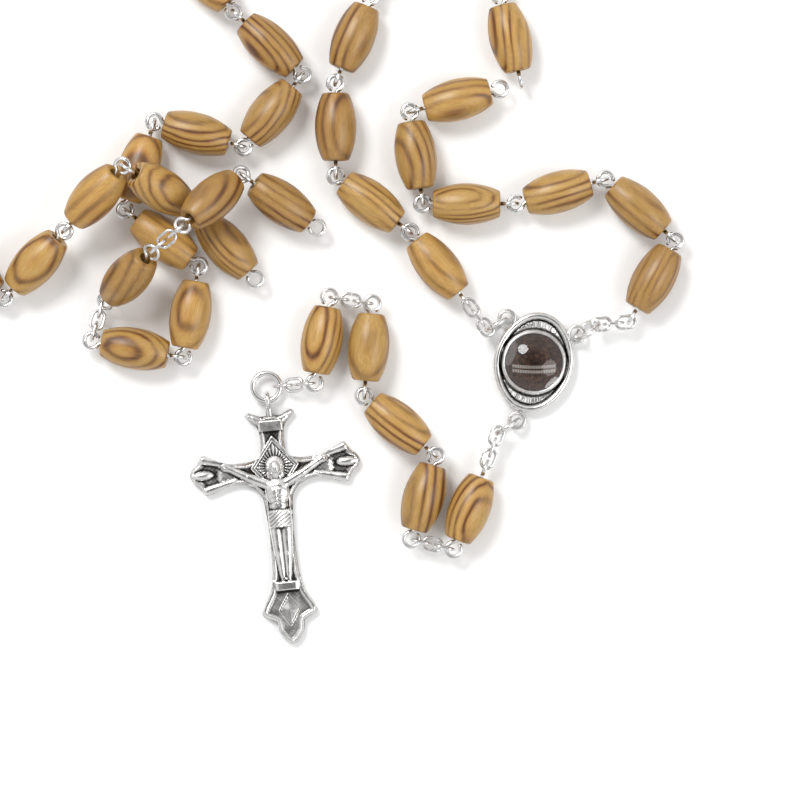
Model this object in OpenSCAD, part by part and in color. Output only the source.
// Rosary of barrel beads on wire eye pins, laid on a table: a ring of five decades, an oval
// centrepiece with a domed capsule, and a pendant of five beads that ends in a crucifix.
// Millimetres, +Z up, the table is z = 0, and the origin is the middle of the centrepiece's back.

/* [Beads] */
// Largest diameter of a bead
bead_d = 6.8; // [6.6:0.1:6.8]
// Length of a bead
bead_l = 10.9; // [10.5:0.1:10.9]
// Diameter of a bead's flat ends
bead_end_d = 4.2; // [3.9:0.1:4.2]
// Diameter of the hole along a bead
bore_d = 2; // [1.6:0.1:2.2]

/* [Eye pins] */
// Diameter of the pins' wire
pin_wire = 0.72; // [0.66:0.02:0.74]
// Diameter of an eye at the middle of its wire
eye_d = 2.4; // [2.36:0.02:2.42]
// Distance between the middles of a pin's two eyes
pin_l = 14.1; // [14.1:0.05:14.3]

/* [Chain links] */
// Diameter of the links' wire
link_wire = 0.56; // [0.5:0.02:0.58]
// Width of a link at the middle of its wire
link_w = 2; // [1.96:0.02:2.04]
// Distance between the middles of a link's two round ends
link_straight = 1.1; // [1.05:0.05:1.15]
// Distance from one link's round end to the next link's, middle to middle
link_lap = 0.85; // [0.8:0.05:0.9]

/* [Jump rings] */
// Diameter of the three small jump rings at the middle of their wire
ring_d = 4.26; // [4.2:0.02:4.3]
// Diameter of the small jump rings' wire
ring_wire = 0.84; // [0.8:0.02:0.86]
// Diameter of the crucifix ring at the middle of its wire
wide_d = 4.44; // [4.4:0.02:4.5]
// Diameter of the crucifix ring's wire
wide_wire = 0.95; // [0.9:0.01:0.95]

/* [Centrepiece] */
// Long axis of the oval
medal_l = 16.6; // [16.2:0.1:16.8]
// Short axis of the oval
medal_w = 12.6; // [12.2:0.1:12.8]
// Thickness of the casting at its rim
medal_t = 2.4; // [2.2:0.1:2.6]
// Outer diameter of the round bezel
bezel_d = 9.6; // [9.4:0.1:9.8]
// Height of the bezel's lip above the back
bezel_h = 3.2; // [3:0.1:3.4]
// Turn of the long axis from +Y, clockwise
medal_turn = 12; // [10:1:14]
// Diameter of an ear at the middle of its wire
ear_d = 2.5; // [2.4:0.05:2.6]
// Diameter of an ear's wire
ear_wire = 0.7; // [0.64:0.02:0.74]

/* [Crucifix] */
// Thickness of the crucifix's plate
cross_t = 1.6; // [1.4:0.1:1.8]
// Direction of the crucifix from its ring, counterclockwise from +X
cross_heading = -84; // [-87:1:-82]

/* [Hidden] */
$fn = 48;

// Kinds of piece in a strand, and the ways that an end loop lies. A HELD loop is flat too, but
// its piece bends at the upright loop's middle, where the others bend at the flat loop's middle.
PIN = 0;
CHAIN = 1;
RING = 2;
WIDE = 3;
FLAT = 0;
UP = 1;
HELD = 2;

axis_z = bead_d / 2;
ear_z = 1.7;
wide_z = 1.5;
chain_core = 3 * link_straight + 2 * link_lap;

// How far an upright loop's middle stands off the middle of the flat loop that it passes through
reach_eye = 0.9;
reach_link = 1;
reach_ring = 2.05;
reach_wide = 2.2;

function reach(a, b) =
    a == WIDE || b == WIDE ? reach_wide
    : a == RING || b == RING ? reach_ring
    : a == CHAIN || b == CHAIN ? reach_link
    : reach_eye;

function core(kind) = kind == PIN ? pin_l : kind == CHAIN ? chain_core : 0;

function compass(heading, pitch) = [
    cos(heading) * cos(pitch),
    sin(heading) * cos(pitch),
    sin(pitch)
];

// A strand is a list of [kind, near loop, far loop, mark]. Each piece starts where the one before
// ends and points at its mark, so its length is always its own. Its first step, from the flat
// loop's middle to its own upright loop's, keeps to the slope of the piece before. A placed piece
// is [kind, near, far, start of its core, heading, pitch, far reach]. A jump ring has no slope
// of its own to keep, because it can turn in its plane.
function lay(at, before, pieces, after, last = [0, 0], i = 0) =
    i == len(pieces) ? []
    : let (
        p = pieces[i],
        bent = p[1] == UP && p[0] != RING,
        step = min(1, p[1]) * reach(i == 0 ? before : pieces[i - 1][0], p[0]),
        far = p[2] * reach(p[0], i == len(pieces) - 1 ? after : pieces[i + 1][0]),
        run = core(p[0]) + far,
        heading = atan2(p[3].y - at.y, p[3].x - at.x),
        slope = atan(tan(last[1]) * cos(heading - last[0])),
        rise = p[3].z - at.z - step * sin(bent ? slope : 0),
        pitch = asin(max(-0.8, min(0.8, rise / (run + (bent ? 0 : step) + 0.001)))),
        start = at + step * compass(heading, bent ? slope : pitch)
    )
    concat(
        [[p[0], p[1], p[2], start, heading, pitch, far]],
        lay(start + run * compass(heading, pitch), before, pieces, after, [heading, pitch], i + 1)
    );

function end_of(piece) = piece[3] + (core(piece[0]) + piece[6]) * compass(piece[4], piece[5]);
function pick(strand, kind) = [for (piece = strand) if (piece[0] == kind) piece];

// A mark on the table plane at bead height
function mark(x, y) = [x, y, axis_z];
function pin_to(x, y, z = axis_z) = [PIN, UP, FLAT, [x, y, z]];
function flat_pin_to(x, y, z = axis_z) = [PIN, FLAT, FLAT, [x, y, z]];
function chain_to(x, y, z = axis_z) = [CHAIN, UP, UP, [x, y, z]];
function slack_chain_to(x, y, z) = [CHAIN, UP, FLAT, [x, y, z]];
function held_pin_to(x, y, z) = [PIN, HELD, FLAT, [x, y, z]];

// Ears of the centrepiece: [middle, direction from the centrepiece's middle]
left_ear = [-4.3, 7.1, ear_z];
right_ear = [6.9, 4.5, ear_z];
low_ear = [-2.7, -9.4, ear_z];

// Pendant, from the low ear to the crucifix ring
pendant = lay(low_ear, RING, [
    [RING, UP, UP, mark(-6, -11.5)],
    [CHAIN, FLAT, FLAT, mark(-7.5, -16)],
    pin_to(-12.5, -29),
    chain_to(-18, -29),
    flat_pin_to(-15.5, -14),
    pin_to(-28, -5),
    pin_to(-26, 10),
    chain_to(-33, 10.5),
    flat_pin_to(-35.5, -4),
    slack_chain_to(-43, -4, wide_z),
    [WIDE, HELD, FLAT, [-43.5, -4, wide_z]]
], WIDE);

// Right branch, from the right ear to the open end of the ring
right = lay(right_ear, RING, [
    [RING, UP, UP, mark(11.5, 6.6)],
    [CHAIN, FLAT, FLAT, mark(16, 6.5)],
    pin_to(23, 20),
    pin_to(11.5, 29.5),
    pin_to(-3, 25.5),
    pin_to(-18, 25.5),
    pin_to(-20, 40),
    pin_to(-5.5, 44)
], PIN);

// Left branch, from the left ear up to where the upper run begins
left = lay(left_ear, RING, [
    [RING, UP, UP, mark(-8, 4.9)],
    [CHAIN, FLAT, FLAT, mark(-10, 8.5)],
    pin_to(-20, 21),
    pin_to(-32, 30),
    pin_to(-32, 45.5)
], PIN);

// Upper run: seven beads, a chain, an Our Father bead, a chain and four beads
upper = lay(end_of(left[4]), PIN, [
    pin_to(-26.5, 58.5),
    pin_to(-23.5, 73),
    pin_to(-23, 88),
    pin_to(-25.5, 103),
    pin_to(-33, 115),
    pin_to(-45.5, 123),
    pin_to(-60, 121),
    chain_to(-65.5, 116.5),
    flat_pin_to(-69, 103),
    chain_to(-68, 96),
    flat_pin_to(-64.5, 82),
    pin_to(-58.5, 68.5),
    pin_to(-48, 56),
    pin_to(-37, 46)
], PIN);

// Tangle: the strand turns back on itself, crosses over itself and ends over the tail's end
tangle_a = lay(end_of(upper[13]), PIN, [
    pin_to(-46.5, 35),
    pin_to(-62, 39),
    pin_to(-66, 24.5)
], PIN);
tangle_b = lay(end_of(tangle_a[2]), PIN, [
    pin_to(-54, 15.5),
    pin_to(-56.5, 1),
    pin_to(-71.5, 3.5)
], CHAIN);
father = lay(end_of(tangle_b[2]), PIN, [
    slack_chain_to(-69.5, 10, 2.5),
    held_pin_to(-59, 19.5, 11.8),
    slack_chain_to(-54, 23.5, 13.2)
], PIN);
tangle_c = lay(end_of(father[2]), CHAIN, [
    held_pin_to(-44.5, 32.5, 6),
    pin_to(-35.5, 22)
], PIN);

// Outer run: from beside the right branch's end, where the ring is open, up one side of a tall
// arch and down its other side
outer_kinds = [
    for (i = [1:4]) "u",
    "c", "f", "c", "f",
    for (i = [1:9]) "u",
    "c", "f", "c", "f",
    for (i = [1:2]) "u"
];
arch_left = -97;
arch_right = -5.5;
arch_foot = 44;
arch_spring = 115;
arch_r = (arch_right - arch_left) / 2;
arch_bend = PI * arch_r;

// The point of the arch at a length s from its right foot
function arch(s) =
    let (
        leg = arch_spring - arch_foot,
        turn = 180 * (s - leg) / arch_bend
    )
    s < leg ? mark(arch_right, arch_foot + s)
    : s < leg + arch_bend ? mark(arch_left + arch_r + arch_r * cos(turn), arch_spring + arch_r * sin(turn))
    : mark(arch_left, arch_spring - (s - leg - arch_bend));

function outer_run(k) =
    k == "c" ? chain_core + 2 * reach_link
    : k == "f" ? pin_l
    : pin_l + reach_eye;
function outer_s(i) = i < 0 ? 0 : outer_s(i - 1) + outer_run(outer_kinds[i]);
function outer_piece(i) =
    let (k = outer_kinds[i], m = arch(outer_s(i)))
    k == "c" ? [CHAIN, UP, UP, m]
    : [PIN, k == "f" ? FLAT : UP, FLAT, m];
outer = lay(mark(-2, 44.5), PIN, [for (i = [0:len(outer_kinds) - 1]) outer_piece(i)], PIN);

// Tail: from the outer run back under and over the tangle
tail = lay(end_of(outer[len(outer) - 1]), PIN, [
    pin_to(-84.5, 9.5),
    pin_to(-75.5, 21, 6.5),
    pin_to(-66, 31, 11.8),
    pin_to(-55.5, 25, 4.6),
    pin_to(-45.5, 14)
], PIN);

// Puts its children where a placed piece lies, with +X along the piece
module at_piece(piece) {
    translate(piece[3])
        rotate([0, -piece[5], piece[4]])
            children();
}

// A ring of wire in the XY plane, or standing in the XZ plane
module wire_ring(d, wire, way = FLAT) {
    rotate([way * 90, 0, 0])
        rotate_extrude()
            translate([d / 2, 0])
                circle(d = wire);
}

// A bead along X, its middle at the origin: a barrel whose side is one arc
module bead() {
    drop = (bead_d - bead_end_d) / 2;
    arc_r = (pow(bead_l / 2, 2) + pow(drop, 2)) / (2 * drop);
    color("peru")
        rotate([0, 90, 0])
            rotate_extrude()
                intersection() {
                    translate([bead_d / 2 - arc_r, 0])
                        circle(r = arc_r, $fn = 96);
                    translate([bore_d / 2, -bead_l / 2])
                        square([bead_d, bead_l]);
                }
}

// An eye pin along X from its near eye: its shaft is a little thinner than its eyes' wire
module eye_pin(near, far) {
    shaft_d = pin_wire - 0.06;
    color("silver") {
        translate([eye_d / 2, 0, 0])
            rotate([0, 90, 0])
                cylinder(d = shaft_d, h = pin_l - eye_d);
        wire_ring(eye_d, pin_wire, near);
        translate([pin_l, 0, 0])
            wire_ring(eye_d, pin_wire, far);
    }
}

// One oval link along X, from its near round end's middle
module link(way) {
    color("silver")
        rotate([way * 90, 0, 0]) {
            for (side = [-1, 1])
                translate([0, side * link_w / 2, 0])
                    rotate([0, 90, 0])
                        cylinder(d = link_wire, h = link_straight);
            rotate([0, 0, 90])
                rotate_extrude(angle = 180)
                    translate([link_w / 2, 0])
                        circle(d = link_wire);
            translate([link_straight, 0, 0])
                rotate([0, 0, -90])
                    rotate_extrude(angle = 180)
                        translate([link_w / 2, 0])
                            circle(d = link_wire);
        }
}

// Three links in a row, the outer two lying one way and the middle one the other
module chain(way) {
    for (i = [0:2])
        translate([i * (link_straight + link_lap), 0, 0])
            link(i == 1 ? 1 - way : way);
}

module place_beads(pins) {
    for (piece = pins)
        at_piece(piece)
            translate([pin_l / 2, 0, 0])
                bead();
}

module place_pins(pins) {
    for (piece = pins)
        at_piece(piece)
            eye_pin(piece[1], piece[2]);
}

module place_chains(chains) {
    for (piece = chains)
        at_piece(piece)
            chain(piece[1]);
}

module place_ring(piece, roll = 0) {
    color("silver")
        at_piece(piece)
            rotate([roll, 0, 0])
                wire_ring(ring_d, ring_wire, UP);
}

// An oval of four arcs, its long axis along Y
module oval(long, short) {
    end_r = short / 2 * 0.78;
    end_y = long / 2 - end_r;
    half = short / 2;
    side_r = (pow(end_y, 2) + pow(half, 2) - pow(end_r, 2)) / (2 * (half - end_r));
    side_x = side_r - half;
    join_y = end_y * side_r / (side_r - end_r);
    for (side = [-1, 1])
        translate([0, side * end_y])
            circle(r = end_r, $fn = 64);
    intersection() {
        translate([-side_x, 0])
            circle(r = side_r, $fn = 128);
        translate([side_x, 0])
            circle(r = side_r, $fn = 128);
        square([short + 1, 2 * join_y], center = true);
    }
}

soil_z = 2.3;
lens_top = 4.3;
lens_d = bezel_d - 1.1;
lens_gap = 0.03;

// The cast centrepiece: plate, raised rim, bezel with its seat, and three ears
module medal_body() {
    rim = 0.75;
    plate_t = medal_t - 0.5;
    color("silver") {
        rotate([0, 0, -medal_turn])
            difference() {
                union() {
                    linear_extrude(plate_t)
                        oval(medal_l - 0.2, medal_w - 0.2);
                    linear_extrude(medal_t)
                        difference() {
                            oval(medal_l, medal_w);
                            oval(medal_l - 2 * rim, medal_w - 2 * rim);
                        }
                    cylinder(d = bezel_d, h = bezel_h, $fn = 96);
                }
                translate([0, 0, 1])
                    cylinder(d = lens_d, h = bezel_h, $fn = 96);
            }
        for (ear = [left_ear, right_ear, low_ear])
            translate(ear)
                wire_ring(ear_d, ear_wire);
    }
}

// The disc of soil that the capsule covers
module soil_disc() {
    color("sienna")
        translate([0, 0, 1])
            cylinder(d = lens_d - 2 * lens_gap, h = soil_z - 1, $fn = 96);
}

// The clear domed capsule, pressed into the bezel over the soil
module capsule_lens() {
    r = lens_d / 2 - lens_gap;
    edge_z = bezel_h - 0.2;
    rise = lens_top - edge_z;
    dome_r = (pow(r, 2) + pow(rise, 2)) / (2 * rise);
    color("lightblue", 0.4)
        rotate_extrude($fn = 96) {
            translate([0, soil_z])
                square([r, edge_z - soil_z]);
            intersection() {
                translate([0, lens_top - dome_r])
                    circle(r = dome_r, $fn = 192);
                translate([0, edge_z - 0.01])
                    square([r, rise + 1]);
            }
        }
}

// Half of the crucifix's outline, from its crown to its foot: [along, across]
cross_half = [
    [4.6, 0], [4.7, 1.6], [3.9, 3.5], [4.5, 4], [6.1, 2.4], [7.2, 2], [9.4, 1.9],
    [11.4, 2.4], [11.9, 4.6], [11.8, 7.6], [10.6, 10.2], [10, 11.6], [11.4, 12.4],
    [12.2, 13.4], [13.2, 13.8], [14.2, 13.4], [15, 12.4], [16.5, 11.6], [16.3, 10.2],
    [15.3, 7.6], [15.4, 5.4], [16.2, 3.6], [18, 2.4], [24, 1.95], [30, 2.1], [33, 2.7],
    [35.4, 4], [36.6, 4.5], [37.2, 3.8], [38, 2.3], [39.6, 2], [41.2, 1], [41.8, 0]
];

module cross_outline() {
    for (side = [-1, 1])
        polygon([for (p = cross_half) [p[0], side * p[1]]]);
    translate([5, -1])
        square([36, 2]);
}

module rhombus(half_l, half_w) {
    polygon([[-half_l, 0], [0, half_w], [half_l, 0], [0, -half_w]]);
}

// A round bar between two points at one height, with round ends
module limb(a, b, z, d) {
    way = b - a;
    for (p = [a, b])
        translate([p.x, p.y, z])
            sphere(d = d, $fn = 24);
    translate([a.x, a.y, z])
        rotate([0, 0, atan2(way.y, way.x)])
            rotate([0, 90, 0])
                cylinder(d = d - 0.02, h = norm(way), $fn = 24);
}

// The figure, as plain rounded limbs, with its head upright and no features
module figure(z) {
    for (side = [-1, 1]) {
        limb([15.9, side * 1.3], [13.9, side * 4.6], z, 1.1);
        limb([13.9, side * 4.6], [12.3, side * 7.8], z, 1);
        limb([22.5, side * 0.7], [27.2, side * 0.62], z, 1.35);
        limb([27.2, side * 0.6], [31, side * 0.45], z, 1.05);
    }
    translate([13.1, 0, z + 0.3])
        sphere(d = 2.7, $fn = 32);
    limb([16, 0], [18.4, 0], z, 2.7);
    limb([18.4, 0], [20.4, 0], z, 2.3);
    limb([21.2, -0.6], [21.2, 0.6], z, 2.4);
    limb([31.2, 0], [32.2, 0], z, 1.3);
}

// The cast crucifix, along X from the middle of its ring
module crucifix() {
    relief = 0.35;
    bail_d = 2.2;
    bail_wire = 0.76;
    color("silver")
        translate(end_of(pendant[10]) - [0, 0, wide_z])
            rotate([0, 0, cross_heading]) {
                linear_extrude(cross_t)
                    cross_outline();
                linear_extrude(cross_t + relief)
                    translate([12.9, 0])
                        rhombus(4, 5.2);
                translate([5.3, -1.9, 0])
                    cube([1.9, 3.8, cross_t + relief]);
                translate([31.6, -2, 0])
                    cube([1.3, 4, cross_t + relief]);
                translate([reach_wide, 0, wide_z])
                    wire_ring(bail_d, bail_wire, UP);
                translate([reach_wide + bail_d / 2 + 0.1, -0.6, 0])
                    cube([1.6, 1.2, cross_t]);
                figure(cross_t + 0.3);
            }
}

module crucifix_ring() {
    color("silver")
        translate(end_of(pendant[10]))
            wire_ring(wide_d, wide_wire);
}

pendant_pins = pick(pendant, PIN);
pendant_chains = pick(pendant, CHAIN);
right_pins = pick(right, PIN);
left_pins = pick(left, PIN);
// The right jump ring leans over
right_lean = 25;

medal_body();
soil_disc();
capsule_lens();
place_ring(pendant[0]);  // pendant_ring
for (i = [1:4])
    place_chains([pendant_chains[i - 1]]);
for (i = [1:5])
    place_beads([pendant_pins[i - 1]]);
for (i = [1:5])
    place_pins([pendant_pins[i - 1]]);
crucifix_ring();
crucifix();
place_ring(right[0], right_lean);  // right_ring
place_chains([right[1]]);  // right_chain
for (i = [1:6])
    place_beads([right_pins[i - 1]]);
for (i = [1:6])
    place_pins([right_pins[i - 1]]);
place_ring(left[0]);  // left_ring
place_chains([left[1]]);  // left_chain
for (i = [1:3])
    place_beads([left_pins[i - 1]]);
for (i = [1:3])
    place_pins([left_pins[i - 1]]);
place_beads(pick(upper, PIN));  // upper_beads
place_pins(pick(upper, PIN));  // upper_pins
place_chains(pick(upper, CHAIN));  // upper_links
place_beads(tangle_a);  // turn_beads
place_pins(tangle_a);  // turn_pins
place_beads(tangle_b);  // under_beads
place_pins(tangle_b);  // under_pins
place_beads([father[1]]);  // father_bead
place_pins([father[1]]);  // father_pin
place_chains([father[0]]);  // father_chain_1
place_chains([father[2]]);  // father_chain_2
place_beads(tangle_c);  // over_beads
place_pins(tangle_c);  // over_pins
place_beads(tail);  // tail_beads
place_pins(tail);  // tail_pins
place_beads(pick(outer, PIN));  // outer_beads
place_pins(pick(outer, PIN));  // outer_pins
place_chains(pick(outer, CHAIN));  // outer_links
